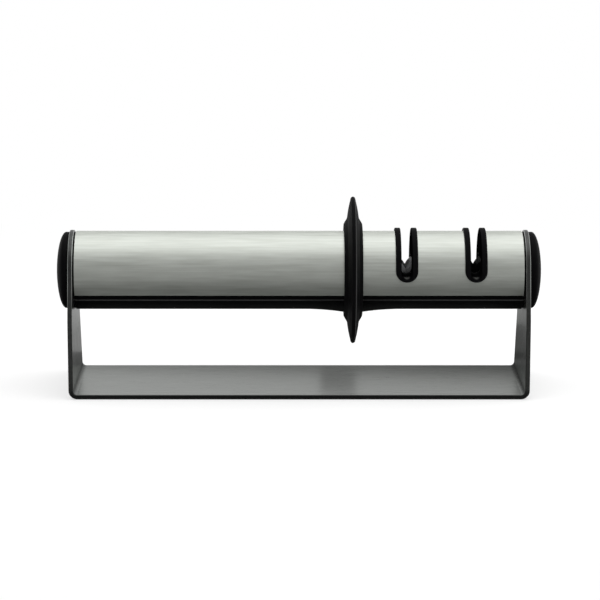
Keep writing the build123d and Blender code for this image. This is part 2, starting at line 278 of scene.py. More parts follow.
mirrored_room = add_node(
    world, "ShaderNodeBackground", [("Strength", level.outputs["Result"])], Color=WHITE
)
print(f"mirrored room from {LEFT_LEVEL} on the left to {RIGHT_LEVEL} on the right")

# %% [markdown]
# Light Path tells the rays apart. Rays from the camera see plain white, rays mirrored by metal see the room
# with its directions, and all other rays see one plain level, which lights the part evenly.

# %% The room by kind of ray
plain_room = world.node_tree.nodes["Background"]
plain_room.inputs["Color"].default_value = WHITE
plain_room.inputs["Strength"].default_value = ROOM_LEVEL
white_room = add_node(world, "ShaderNodeBackground", Color=WHITE, Strength=1)
room_rays = add_node(world, "ShaderNodeLightPath").outputs
for_metal = add_node(
    world,
    "ShaderNodeMixShader",
    [(0, room_rays["Is Glossy Ray"]), (1, plain_room.outputs[0]), (2, mirrored_room.outputs[0])],
)
for_camera = add_node(
    world,
    "ShaderNodeMixShader",
    [(0, room_rays["Is Camera Ray"]), (1, for_metal.outputs[0]), (2, white_room.outputs[0])],
)
set_surface(world, for_camera, "World Output")
print(f"room at {ROOM_LEVEL} for diffuse light, white for the camera")

# %% [markdown]
# The soft box is an area lamp. Its angle runs from the front (0) over the top (90) to the back (180), so at
# 96 degrees it stands a little behind the handle, which brings the highlight to the top of the tube. Its
# power is worked out from the brightness wanted of its surface.

# %% The soft box
BOX_WIDTH, BOX_DEPTH = 1.8, 1.0
BOX_RADIANCE = 2.45
BOX_ANGLE = radians(96)
BOX_DISTANCE, BOX_RIGHT = 0.9, 0.25
lamp_data = bpy.data.lights.new("soft_box_top", "AREA")
lamp_data.shape = "RECTANGLE"
lamp_data.size, lamp_data.size_y = BOX_WIDTH, BOX_DEPTH
lamp_data.energy = BOX_RADIANCE * pi * BOX_WIDTH * BOX_DEPTH
lamp = add_object("soft_box_top", lamp_data)
lamp.location = (BOX_RIGHT, -cos(BOX_ANGLE) * BOX_DISTANCE, sin(BOX_ANGLE) * BOX_DISTANCE)
lamp.rotation_euler = (BOX_ANGLE - pi / 2, 0, 0)
print(f"one soft box, {lamp_data.energy:.1f} W")


# %% [markdown]
# A round tube mirrors its whole surroundings, and on a white floor its lower half would be as bright as its
# upper half. So one card of painted shadow lies round the foot of the part, just outside the picture, to give
# the metal a dark side: it stands for the part's shadow on the floor, dark in the middle and lighter
# outwards, more slowly along the handle than to the front and back. Only reflections see the card: it isn't
# in the camera's view, and it takes no light from the floor.

# %% The lying card of painted shadow
LYING = 0.1 * MM
CARD_SIDE, CARD_FRONT, CARD_BACK = 240 * MM, 450 * MM, 350 * MM
DARK_TO, LIGHT_FROM = 40 * MM, 240 * MM
ALONG_HANDLE = 0.35


def add_card(name, corners, paint):
    """A flat card of painted shade or painted light that only reflections see."""
    card_data = bpy.data.meshes.new(name)
    sheet = bmesh.new()
    sheet.faces.new([sheet.verts.new(corner) for corner in corners])
    sheet.to_mesh(card_data)
    sheet.free()
    card_data.materials.append(paint)
    card = add_object(name, card_data)
    card.visible_camera = False
    card.visible_diffuse = False
    card.visible_shadow = False
    card.visible_transmission = False


def lying_corners(left, right, near, far, height):
    """The corners of a card that lies flat."""
    return [(left, near, height), (right, near, height), (right, far, height), (left, far, height)]


painted_shadow_paint = new_material("card", Roughness=0.9, Specular_IOR_Level=0)
card_place = add_node(painted_shadow_paint, "ShaderNodeTexCoord")
narrowed = add_node(
    painted_shadow_paint, "ShaderNodeMapping", [("Vector", card_place.outputs["Object"])], Scale=(ALONG_HANDLE, 1, 1)
)
reach = add_node(painted_shadow_paint, "ShaderNodeVectorMath", [(0, narrowed.outputs[0])], operation="LENGTH")
fade = add_node(
    painted_shadow_paint,
    "ShaderNodeMapRange",
    [("Value", reach.outputs["Value"])],
    From_Min=DARK_TO,
    From_Max=LIGHT_FROM,
)
# Painted shadow of the part on the floor: #242424 near it, #dcdcdc far out.
shade = add_node(painted_shadow_paint, "ShaderNodeValToRGB", [("Fac", fade.outputs["Result"])])
shade.color_ramp.elements[0].color = linear("#242424")
shade.color_ramp.elements[1].color = linear("#dcdcdc")
feed_shader(painted_shadow_paint, Base_Color=shade.outputs[0])
add_card("painted_shadow_card", lying_corners(-CARD_SIDE, CARD_SIDE, -CARD_FRONT, CARD_BACK, LYING), painted_shadow_paint)
print(f"lying card {2 * CARD_SIDE} x {CARD_FRONT + CARD_BACK:.2f} m")

# %% [markdown]
# Three low strips of painted shade stand upright behind the base, one before the other. They glow at set
# levels, and what the base mirrors of them is a painted shadow of the handle and the guard on its far half: a
# grey one that is taller and darker to the right, a dark one as low as the strap's bends, and a patch behind
# the guard. A last card of painted shade lies behind them on the right, for the right leg. Their brightness
# is set directly and changes evenly along one axis.

# %% Strips of painted shade behind the base
# Painted shade: the strips stand for the shadow that the handle and the guard cast on the base.
# Name; left end, right end, height at each end and place ahead of the row in mm; level at each end.
STRIPS = [
    ("grey_strip", -117, 128, 13.7, 20, 0, 0.49, 0.09),
    ("low_dark_strip", -128, 128, 4.5, 4.5, 1, 0.15, 0.05),
    ("guard_shadow_patch", 12, 31, 27, 27, 2, 0.28, 0.28),
]
STRIP_Y = strap_high.y + 25 * MM
BACK_CARD_X = (60 * MM, 150 * MM)
BACK_CARD_Y = (STRIP_Y + 2 * MM, STRIP_Y + 160 * MM)
BACK_CARD_LEVELS = (0.04, 0.42)


def add_painted_shade_card(name, corners, axis, ends, levels):
    """A glowing card of painted shade, whose brightness goes from one level to the other between two places
    along an axis.
    """
    paint = new_material(name)
    place = add_node(paint, "ShaderNodeTexCoord")
    split = add_node(paint, "ShaderNodeSeparateXYZ", [("Vector", place.outputs["Object"])])
    level = add_node(
        paint,
        "ShaderNodeMapRange",
        [("Value", split.outputs[axis])],
        From_Min=ends[0],
        From_Max=ends[1],
        To_Min=levels[0],
        To_Max=levels[1],
    )
    glow = add_node(paint, "ShaderNodeEmission", [("Strength", level.outputs["Result"])])
    set_surface(paint, glow)
    add_card(name, corners, paint)


for name, left_mm, right_mm, left_height, right_height, ahead, *levels in STRIPS:
    left, right, y = left_mm * MM, right_mm * MM, STRIP_Y - ahead * MM
    tops = [(right, y, right_height * MM), (left, y, left_height * MM)]
    add_painted_shade_card(name, [(left, y, LYING), (right, y, LYING)] + tops, "X", (left, right), levels)
# A card of painted shade behind the right leg, for the leg to mirror.
back_corners = lying_corners(*BACK_CARD_X, *BACK_CARD_Y, 2 * LYING)
add_painted_shade_card("behind_right", back_corners, "Y", BACK_CARD_Y, BACK_CARD_LEVELS)
print(f"{len(STRIPS)} strips and a card behind the part, for reflections only")


# %% [markdown]
# ## Helpers for shapes
# Most pieces here are turned or bent from one outline. An outline is a list of corners, each with a radius,
# and one function turns it into points with true arcs. Another hands a finished bmesh over to the scene:
# it shades it smoothly but keeps the sharper edges, and says which body it rides on.

# %% Outline and piece helpers
ARC_STEPS = 6


def rounded(corners):
    """Points along corners given as (a, b, radius); a corner with a radius becomes an arc."""
    points = []
    for i, (a, b, radius) in enumerate(corners):
        corner = Vector((a, b))
        if not radius:
            points.append(corner)
            continue
        to_last = (Vector(corners[i - 1][:2]) - corner).normalized()
        to_next = (Vector(corners[(i + 1) % len(corners)][:2]) - corner).normalized()
        half = to_last.angle(to_next) / 2
        centre = corner + (to_last + to_next).normalized() * radius / sin(half)
        start = corner + to_last * radius / tan(half) - centre
        end = corner + to_next * radius / tan(half) - centre
        for k in range(ARC_STEPS + 1):
            points.append(centre + start.slerp(end, k / ARC_STEPS).normalized() * radius)
    return points


def add_piece(name, shape, materials, replaced, sharp, body="frame"):
    """Makes an object of a bmesh, with its normals outwards; edges sharper than this angle stay sharp."""
    bmesh.ops.remove_doubles(shape, verts=shape.verts, dist=0.001 * MM)
    bmesh.ops.recalc_face_normals(shape, faces=shape.faces)
    data = bpy.data.meshes.new(name)
    shape.to_mesh(data)
    shape.free()
    for face in data.polygons:
        face.use_smooth = True
    data.set_sharp_from_angle(angle=radians(sharp))
    for material in materials:
        data.materials.append(material)
    piece = add_object(name, data)
    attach(piece, body)
    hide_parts(*replaced)
    size = " x ".join(f"{side / MM:.1f}" for side in piece.dimensions)
    print(f"{name}: {len(data.vertices)} vertices, {size} mm")


def turn_profile(points, steps, closed):
    """A bmesh turned about the handle's axis from points given as (x, distance from the axis)."""
    shape = bmesh.new()
    verts = [shape.verts.new((x, 0, axis_z + r)) for x, r in points]
    ends = list(zip(verts, verts[1:] + verts[:1])) if closed else list(zip(verts, verts[1:]))
    edges = [shape.edges.new(pair) for pair in ends]
    bmesh.ops.spin(
        shape,
        geom=verts + edges,
        cent=(0, 0, axis_z),
        axis=(1, 0, 0),
        angle=2 * pi,
        steps=steps,
        use_merge=True,
    )
    return shape


print(f"arcs of {ARC_STEPS} steps")

# %% [markdown]
# ## Brushed stainless steel
# The sleeves are stainless steel, finished with a fine belt along the handle. The scratches run along X, so
# the steel mirrors sharply along itself and smears light round the tube. Real scratches are about 0.02 mm
# wide, too fine to show, so they are drawn 0.35 mm wide, and a second noise adds the bands of a millimetre
# or so that an uneven belt leaves. Both are stretched along X and carry small changes of colour and
# roughness. Nickel and chromium leave the steel a trace greener than grey, and it darkens slightly towards
# its outline.

# %% Recipe for brushed steel
SCRATCH_WIDTH, SCRATCH_LENGTH, SCRATCH_DEPTH = 0.35 * MM, 45 * MM, 0.05 * MM
BAND_WIDTH, BAND_LENGTH = 1.5 * MM, 18 * MM


def paint_by(material, tone, gloss, colours, roughness, change=0.2, stops=(0, 1)):
    """Lets one pattern choose between two linear colours, and another the roughness, give or take a share."""
    tint = add_node(material, "ShaderNodeValToRGB", [("Fac", tone)])
    for stop, colour, position in zip(tint.color_ramp.elements, colours, stops):
        stop.color, stop.position = colour, position
    rough = add_node(
        material,
        "ShaderNodeMapRange",
        [("Value", gloss)],
        To_Min=roughness * (1 - change),
        To_Max=roughness * (1 + change),
    )
    feed_shader(material, Base_Color=tint.outputs[0], Roughness=rough.outputs["Result"])


def brushed_steel(name, colours, roughness, coordinate, edge_tint, spread=0):
    """Steel brushed along its first coordinate, with dark and light hex colours."""
    steel = new_material(name, Metallic=1, Anisotropic=spread, Specular_Tint=linear(edge_tint))
    place = add_node(steel, "ShaderNodeTexCoord")
    grains = []
    for width, length, detail in ((SCRATCH_WIDTH, SCRATCH_LENGTH, 6), (BAND_WIDTH, BAND_LENGTH, 3)):
        stretched = add_node(
            steel,
            "ShaderNodeMapping",
            [("Vector", place.outputs[coordinate])],
            Scale=(1 / length, 1 / width, 1 / width),
        )
        noise = add_node(
            steel, "ShaderNodeTexNoise", [("Vector", stretched.outputs[0])], Scale=1, Detail=detail
        )
        grains.append(noise.outputs["Fac"])
    both = add_node(steel, "ShaderNodeMix", [("A", grains[0]), ("B", grains[1])], Factor=0.5)
    mixed = both.outputs["Result"]
    paint_by(steel, mixed, mixed, [linear(c) for c in colours], roughness, change=0.15, stops=(0.3, 0.7))
    groove = add_node(steel, "ShaderNodeBump", [("Height", grains[0])], Strength=0.06, Distance=SCRATCH_DEPTH)
    feed_shader(steel, Normal=groove.outputs[0])
    return steel


print(f"scratches drawn {SCRATCH_WIDTH / MM:.2f} mm wide, bands {BAND_WIDTH / MM:.1f} mm")

# %% [markdown]
# The smear is anisotropy: the highlight spreads across the scratches, so its tangent is the direction round
# the handle, which is square to the surface and to X.

# %% Steel for the sleeves
sleeve_steel = brushed_steel(
    "brushed_sleeve_steel",
    ("#92958f", "#acafaa"),
    roughness=0.42,
    coordinate="Object",
    edge_tint="#d0d0d0",
    spread=0.8,
)
sleeve_surface = add_node(sleeve_steel, "ShaderNodeNewGeometry")
round_handle = add_node(
    sleeve_steel,
    "ShaderNodeVectorMath",
    [(0, sleeve_surface.outputs["Normal"]), (1, (1, 0, 0))],
    operation="CROSS_PRODUCT",
)
feed_shader(sleeve_steel, Tangent=round_handle.outputs[0])
print("sleeve steel smears light round the handle")

# %% [markdown]
# The strap is the same steel, but its scratches follow the strap: along the base, round the bends and up
# the legs. The strap gets its own UV map, measured along and across it before it is bent, and the pattern
# reads that map. Its belt was finer, so it mirrors more evenly, without a smear.

# %% Steel for the strap
strap_steel = brushed_steel(
    "brushed_strap_steel",
    ("#939693", "#a3a6a3"),
    roughness=0.28,
    coordinate="UV",
    edge_tint="#dadada",
)
print("strap steel reads the strap's own map")

# %% [markdown]
# The strap was cut from sheet, and its cut edges are dull. So the edge is its own metal: rather rough, and
# mottled by the marks that the cut left, about 1.1 mm apart. It is painted much darker than the faces,
# painted shade for the dim surroundings that the edges mirror.

# %% Cut edge of the strap
MARKS_PER_METRE = (900, 60, 900)
MARK_DEPTH = 0.05 * MM
cut_edge = new_material("cut_strap_edge", Metallic=1, Roughness=0.42)
edge_place = add_node(cut_edge, "ShaderNodeTexCoord")
mark_places = add_node(
    cut_edge, "ShaderNodeMapping", [("Vector", edge_place.outputs["Object"])], Scale=MARKS_PER_METRE
)
marks = add_node(cut_edge, "ShaderNodeTexNoise", [("Vector", mark_places.outputs[0])], Scale=1, Detail=4)
mark_tint = add_node(cut_edge, "ShaderNodeValToRGB", [("Fac", marks.outputs["Fac"])])
# Partly painted shade: the marks' colours are kept dark for the dim surroundings that the edges mirror.
mark_tint.color_ramp.elements[0].color = linear("#252625")
mark_tint.color_ramp.elements[1].color = linear("#414241")
mark_bump = add_node(
    cut_edge, "ShaderNodeBump", [("Height", marks.outputs["Fac"])], Strength=0.1, Distance=MARK_DEPTH
)
feed_shader(cut_edge, Base_Color=mark_tint.outputs[0], Normal=mark_bump.outputs[0])
print("cut edge ready")

# %% [markdown]
# The narrow bevel between face and cut edge was made by a finishing belt. Its brightness is a painted
# highlight: bright round the crowns of the legs, which are lit from above, and as dark as the cut itself
# further down and along the base. So it starts as a copy of the cut edge and is painted over by height.

# %% Broken edge of the strap
BRIGHT_FROM, BRIGHT_FULL = axis_z - 24 * MM, axis_z
COLOUR_A, COLOUR_B, COLOUR_OUT = 6, 7, 2


def paint_over(material, mask, colour):
    """Paints a hex colour over the material's base colour where the mask is 1."""
    below = shader_of(material).inputs["Base Color"].links[0].from_socket
    mix = add_node(
        material,
        "ShaderNodeMix",
        [("Factor", mask), (COLOUR_A, below), (COLOUR_B, linear(colour))],
        data_type="RGBA",
    )
    feed_shader(material, Base_Color=mix.outputs[COLOUR_OUT])


broken_edge = cut_edge.copy()
broken_edge.name = "broken_strap_edge"
bevel_place = add_node(broken_edge, "ShaderNodeTexCoord")
bevel_split = add_node(broken_edge, "ShaderNodeSeparateXYZ", [("Vector", bevel_place.outputs["Object"])])
crown_highlight = add_node(
    broken_edge,
    "ShaderNodeMapRange",
    [("Value", bevel_split.outputs["Z"])],
    interpolation_type="SMOOTHSTEP",
    From_Min=BRIGHT_FROM,
    From_Max=BRIGHT_FULL,
)
# Painted highlight: the bevel is painted #9b9e9b towards the crowns, which are lit from above.
paint_over(broken_edge, crown_highlight.outputs["Result"], "#9b9e9b")
print(f"broken edge bright from {BRIGHT_FROM / MM:.0f} to {BRIGHT_FULL / MM:.0f} mm up")


# %% [markdown]
# ## Black mouldings
# Guard, caps, frames and core are black ABS, moulded in fine-spark-eroded tools: deep black, with hardly
# any sheen. The tool's grain is about 0.1 mm, drawn at 0.25 mm here so that it shows, as a faint bump and as
# small changes of tone. A broader pattern of about two centimetres stands for handling, which polishes some
# places a little more than others. In the photograph these blacks are nearly pure, so their specular level
# is kept far below the 0.5 that ABS has: they hardly mirror the pale room.

# %% Moulded black plastic
GRAIN, GRAIN_DEPTH, GRAIN_SHADE = 0.25 * MM, 0.02 * MM, 0.75
HANDLING = 18 * MM


def moulded_black(name, colour, roughness, specular_level, grain_strength=0.12):
    """Black moulded plastic with a fine grain."""
    plastic = new_material(name, Specular_IOR_Level=specular_level, IOR=1.5)
    place = add_node(plastic, "ShaderNodeTexCoord").outputs["Object"]
    patterns = []
    for size, detail in ((GRAIN, 2), (HANDLING, 3)):
        noise = add_node(plastic, "ShaderNodeTexNoise", [("Vector", place)], Scale=1 / size, Detail=detail)
        patterns.append(noise.outputs["Fac"])
    shaded = [c * GRAIN_SHADE for c in linear(colour)[:3]] + [1]
    paint_by(plastic, *patterns, (shaded, linear(colour)), roughness)
    bump = add_node(
        plastic, "ShaderNodeBump", [("Height", patterns[0])], Strength=grain_strength, Distance=GRAIN_DEPTH
    )
    feed_shader(plastic, Normal=bump.outputs[0])
    return plastic


guard_black = moulded_black("moulded_guard_black", "#0c0c0d", roughness=0.6, specular_level=0.014)
cap_black = moulded_black("moulded_cap_black", "#0b0b0c", roughness=0.5, specular_level=0.012)
core_black = moulded_black("moulded_core_black", "#080809", roughness=0.5, specular_level=0.01)
cradle_black = moulded_black(
    "glass_filled_nylon_black", "#0c0c0d", roughness=0.6, specular_level=0.2, grain_strength=0.3
)
print("black plastics ready")

# %% [markdown]
# Two thin lines on the mouldings are painted highlights, where an edge catches the light: the edge along the
# top of the keel, and the parting line round the guard's rim, a little to the right of its middle. Each is a
# band of paler black at one height or one place along the handle.

# %% Painted highlight lines
KEEL_HIGHLIGHT_DROP, KEEL_HIGHLIGHT_WIDTH = 12.6 * MM, 0.45 * MM
PARTING_HIGHLIGHT_SHIFT, PARTING_HIGHLIGHT_WIDTH = 0.9 * MM, 0.3 * MM


def tint_band(material, axis, at, width, colour, coordinate="Object"):
    """Paints a band square to an axis over a material, as painted highlight or painted shade. With UV, a band
    at each side of the middle.
    """
    place = add_node(material, "ShaderNodeTexCoord")
    split = add_node(material, "ShaderNodeSeparateXYZ", [("Vector", place.outputs[coordinate])])
    along = split.outputs[axis]
    if coordinate == "UV":
        along = add_node(material, "ShaderNodeMath", [(0, along)], operation="ABSOLUTE").outputs[0]
    off = add_node(material, "ShaderNodeMath", [(0, along), (1, at)], operation="SUBTRACT")
    away = add_node(material, "ShaderNodeMath", [(0, off.outputs[0])], operation="ABSOLUTE")
    near = add_node(
        material,
        "ShaderNodeMapRange",
        [("Value", away.outputs[0])],
        interpolation_type="SMOOTHSTEP",
        From_Min=width / 4,
        From_Max=width,
        To_Min=1,
        To_Max=0,
    )
    paint_over(material, near.outputs["Result"], colour)


keel_highlight_z = axis_z - KEEL_HIGHLIGHT_DROP
parting_highlight_x = guard_x + PARTING_HIGHLIGHT_SHIFT
# Painted highlight along the top edge of the keel.
tint_band(core_black, "Z", keel_highlight_z, KEEL_HIGHLIGHT_WIDTH, "#3c3c3c")
# Painted highlight along the guard's parting line.
tint_band(guard_black, "X", parting_highlight_x, PARTING_HIGHLIGHT_WIDTH, "#464646")
print(f"keel's edge at {keel_highlight_z / MM:.1f} mm, parting line at {parting_highlight_x / MM:.1f} mm")

# %% [markdown]
# The slots' frames are one moulding with their liners. Inside a slot the mould was left dull, so the walls
# hardly mirror at all: they get a plain diffuse shader. The floor of the trough has a painted highlight where
# its lip catches the lamp above: a pale oval at each mouth that fades outwards.

# %% Dull walls and a painted highlight in the trough
GLINT_Y, GLINT_WIDTH, GLINT_LENGTH = 18 * MM, 4.4 * MM, 8 * MM


def dull_wall(material, from_floor):
    """A diffuse shader for the walls, with a painted highlight: paler in an oval at each mouth of the trough.
    """
    either_side = add_node(material, "ShaderNodeVectorMath", [(0, from_floor)], operation="ABSOLUTE")
    from_glint = add_node(
        material,
        "ShaderNodeVectorMath",
        [(0, either_side.outputs[0]), (1, (0, GLINT_Y, 0))],
        operation="SUBTRACT",
    )
    shortened = add_node(
        material,
        "ShaderNodeVectorMath",
        [(0, from_glint.outputs[0]), (1, (1, GLINT_WIDTH / GLINT_LENGTH, 1))],
        operation="MULTIPLY",
    )
    reach = add_node(material, "ShaderNodeVectorMath", [(0, shortened.outputs[0])], operation="LENGTH")
    glint = add_node(
        material,
        "ShaderNodeMapRange",
        [("Value", reach.outputs["Value"])],
        interpolation_type="SMOOTHSTEP",
        From_Min=0,
        From_Max=GLINT_WIDTH / 2,
        To_Min=1,
        To_Max=0,
    )
    # Painted highlight: #60605e in the oval, #080809 elsewhere.
    paint = add_node(
        material,
        "ShaderNodeMix",
        [("Factor", glint.outputs["Result"]), (COLOUR_A, linear("#080809")), (COLOUR_B, linear("#60605e"))],
        data_type="RGBA",
    )
    return add_node(material, "ShaderNodeBsdfDiffuse", [("Color", paint.outputs[COLOUR_OUT])])


print(f"rubbed ovals {GLINT_WIDTH / MM:.1f} x {GLINT_LENGTH / MM:.1f} mm")

# %% [markdown]
# Where the inside of a slot is can be told from the middle of its trough's floor: up to 2.85 mm to each side
# of that, and nowhere below it. There the frame gets the dull wall, and everywhere else its moulded black.

# %% Slot frames
HALF_INSIDE = 2.85 * MM
FLOOR_DROP, FLOOR_MARGIN = 0.75 * MM, 0.1 * MM


def slot_frame_black(node):
    """A frame's black, with dull walls inside the slot."""
    low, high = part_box(node)
    plastic = moulded_black(f"moulded_black_{node}", "#0d0d0e", roughness=0.5, specular_level=0.008)
    place = add_node(plastic, "ShaderNodeTexCoord")
    floor_middle = ((low.x + high.x) / 2, 0, axis_z - FLOOR_DROP)
    from_floor = add_node(
        plastic,
        "ShaderNodeVectorMath",
        [(0, place.outputs["Object"]), (1, floor_middle)],
        operation="SUBTRACT",
    ).outputs[0]
    split = add_node(plastic, "ShaderNodeSeparateXYZ", [("Vector", from_floor)])
    above = add_node(
        plastic, "ShaderNodeMath", [(0, split.outputs["Z"]), (1, -FLOOR_MARGIN)], operation="GREATER_THAN"
    )
    aside = add_node(plastic, "ShaderNodeMath", [(0, split.outputs["X"])], operation="ABSOLUTE")
    between = add_node(
        plastic, "ShaderNodeMath", [(0, aside.outputs[0]), (1, HALF_INSIDE)], operation="LESS_THAN"
    )
    inside = add_node(
        plastic, "ShaderNodeMath", [(0, above.outputs[0]), (1, between.outputs[0])], operation="MULTIPLY"
    )
    wall = dull_wall(plastic, from_floor)
    look = add_node(
        plastic,
        "ShaderNodeMixShader",
        [(0, inside.outputs[0]), (1, shader_of(plastic).outputs[0]), (2, wall.outputs[0])],
    )
    set_surface(plastic, look)
    return plastic


slot_frames = {name: slot_frame_black(name) for name in ("coarse_slot_trim", "fine_slot_trim")}
print("slot frames:", ", ".join(slot_frames))

# %% [markdown]
# ## The strap
# One blank of sheet steel is cut to an outline, its edges are broken, and then it is bent. The same order
# works here: a flat outline gets its thickness and its broken edges, is cut across where it will bend, and
# every vertex is then moved onto the bent path. That way the outline, the edges and the scratches follow
# the bends by themselves. The path is half of the strap seen from the front: the base, the bend, the leg,
# whose foot stands 0.7 mm further in than its top, and a slight knee, from which it stands upright.

# %% The strap's path
LEG_SET = 0.7 * MM
BEND_RADIUS = 2.1 * MM
KNEE_RADIUS = 80 * MM
LEG_MARGIN = 2 * MM
SPARE_LENGTH = 10 * MM
leg_radius = strap_high.z - axis_z
middle = strap_thickness / 2
knee_z = axis_z - leg_radius - LEG_MARGIN
lean = atan(LEG_SET / (knee_z - strap_low.z))
path_radius = BEND_RADIUS + middle
bend_turn = pi / 2 - lean
corner_x = strap_outer - LEG_SET - middle / cos(lean) + middle * tan(lean)
flat_length = corner_x - path_radius * tan(bend_turn / 2)
bend_length = path_radius * bend_turn
knee_length = KNEE_RADIUS * lean
leg_length = (knee_z - strap_low.z - middle) / cos(lean) - path_radius * tan(bend_turn / 2) - knee_length / 2
path = [
    (flat_length, 0),
    (bend_length, bend_turn),
    (leg_length, 0),
    (knee_length, lean),
    (2 * leg_radius + SPARE_LENGTH, 0),
]
print(f"base flat for {2 * flat_length / MM:.1f} mm, leaning leg {leg_length / MM:.1f} mm long")


# %% [markdown]
# One function walks along the path and says where it is. The other goes the opposite way, from a height to
# a length along the path, by halving the range again and again.

# %% Places on the path
SEARCH_STEPS = 40


def on_path(s):
    """The place (x, z) and the heading at a distance s from the middle of the base."""
    x, z, heading = 0, strap_low.z + middle, 0
    for length, turn in path:
        step = min(s, length)
        if turn:
            radius = length / turn
            ahead = heading + step / radius
            x += radius * (sin(ahead) - sin(heading))
            z -= radius * (cos(ahead) - cos(heading))
            heading = ahead
        else:
            x += step * cos(heading)
            z += step * sin(heading)
        s -= step
        if s <= 0:
            break
    return x, z, heading


def path_at(z):
    """The distance along the path at which the leg is z high."""
    low, high = flat_length, sum(length for length, _ in path)
    for _ in range(SEARCH_STEPS):
        guess = (low + high) / 2
        low, high = (guess, high) if on_path(guess)[1] < z else (low, guess)
    return low


top_x = on_path(path_at(strap_high.z))[0]
print(f"leg's top at x {top_x / MM:.2f} mm, frame {(strap_outer - middle) / MM:.2f} mm")

# %% [markdown]
# Each bend is painted a little darker than the flats: painted shade where the strap turns from base to leg.
# The band is drawn by the strap's own map, which is measured from its middle to both sides.

# %% Painted shade round the bends
BEND_SHADE_WIDTH = 3.4 * MM
# Painted shade: #646764 over the steel round each bend.
tint_band(strap_steel, "X", flat_length + bend_length / 2, BEND_SHADE_WIDTH, "#646764", coordinate="UV")
print(f"bends darker over {2 * BEND_SHADE_WIDTH / MM:.1f} mm")

# %% [markdown]
# Seen from the end, each leg narrows in a straight line to the handle's circle and ends round, a hair
# larger than the handle. The blank's outline is that view, unrolled along the path.

# %% The blank's outline
FOOT_RADIUS = 12 * MM
CROWN_STEPS = 28
base_half = strap_high.y
foot = Vector((base_half, strap_low.z + strap_thickness + BEND_RADIUS))
offset = Vector((foot.x, foot.y - axis_z))
touch = atan2(offset.y, offset.x) + pi / 2 - atan(leg_radius / sqrt(offset.length**2 - leg_radius**2))
side_view = rounded([
    (foot.x, strap_low.z, 0),
    (foot.x, foot.y, FOOT_RADIUS),
    (leg_radius * cos(touch), axis_z + leg_radius * sin(touch), 0),
])[1:]
for k in range(1, CROWN_STEPS):
    angle = touch + (pi / 2 - touch) * k / CROWN_STEPS
    side_view.append(Vector((leg_radius * cos(angle), axis_z + leg_radius * sin(angle))))
half_outline = [(path_at(p.y), p.x) for p in side_view]
leg_tip = (path_at(strap_high.z), 0)
quarter = half_outline + [leg_tip]
right_side = quarter + [(s, -y) for s, y in reversed(half_outline)]
outline = right_side + [(-s, -y) for s, y in right_side]
print(f"blank {2 * leg_tip[0] / MM:.0f} mm long, {2 * base_half / MM:.0f} mm wide, {len(outline)} corners")

# %% [markdown]
# The outline becomes one face and is extruded to the sheet's thickness. Every edge round the two flat faces
# is then bevelled in one step, as a belt would break it.

# %% The blank with broken edges
EDGE_BREAK = 0.28 * MM
strap = bmesh.new()
blank = strap.faces.new([strap.verts.new((s, y, -middle)) for s, y in outline])
bmesh.ops.recalc_face_normals(strap, faces=strap.faces)
lifted = bmesh.ops.extrude_face_region(strap, geom=[blank])
bmesh.ops.translate(
    strap, verts=[v for v in lifted["geom"] if isinstance(v, bmesh.types.BMVert)], vec=(0, 0, strap_thickness)
)
rims = [e for e in strap.edges if abs(e.verts[0].co.z - e.verts[1].co.z) < middle]
bmesh.ops.bevel(
    strap,
    geom=rims,
    offset=EDGE_BREAK,
    offset_type="OFFSET",
    segments=1,
    profile=0.5,
    affect="EDGES",
    material=-1,
)
print(f"{len(rims)} edges broken, {len(strap.verts)} vertices")

# %% [markdown]
# Only the bends need many cuts across; the flats stay long faces. After the cuts, each face takes its
# material from its steepness on the blank, and each corner its place on the strap's map, and only then are
# the vertices moved: along the path, and out from it by their place in the sheet's thickness.

# %% Cutting across, mapping and bending
BEND_CUTS, KNEE_CUTS, BASE_CUTS = 14, 4, 4
EDGE_SLOT, BROKEN_SLOT = 1, 2
CUT_FACE, FLAT_FACE = 0.3, 0.9
knee_start = flat_length + bend_length + leg_length
cuts = [flat_length + bend_length * k / BEND_CUTS for k in range(BEND_CUTS + 1)]
cuts += [knee_start + knee_length * k / KNEE_CUTS for k in range(KNEE_CUTS + 1)]
cuts += [flat_length * k / BASE_CUTS for k in range(BASE_CUTS)]
for s in cuts:
    for side in {s, -s}:
        bmesh.ops.bisect_plane(
            strap,
            geom=strap.verts[:] + strap.edges[:] + strap.faces[:],
            plane_co=(side, 0, 0),
            plane_no=(1, 0, 0),
            dist=0.0001 * MM,
        )
strap_map = strap.loops.layers.uv.new("along_strap")
strap.normal_update()
for face in strap.faces:
    steepness = abs(face.normal.z)
    face.material_index = EDGE_SLOT if steepness < CUT_FACE else BROKEN_SLOT if steepness < FLAT_FACE else 0
    for loop in face.loops:
        loop[strap_map].uv = loop.vert.co.xy
for vert in strap.verts:
    s, y, out = vert.co
    x, z, heading = on_path(abs(s))
    side = -1 if s < 0 else 1
    vert.co = (side * (x + out * sin(heading)), y, z - out * cos(heading))
strap_finishes = [strap_steel, cut_edge, broken_edge]
add_piece("strap", strap, strap_finishes, replaced=["stand_bracket"], sharp=15)

# %% [markdown]
# ## The finger guard
# The guard is one black moulding: a short collar over the handle, and a disc whose faces bulge slightly
# and run out to a narrow round rim. It is turned from its profile, like the tool it was moulded in. The
# profile is given for the right half, as (distance from the disc's middle, distance from the axis).

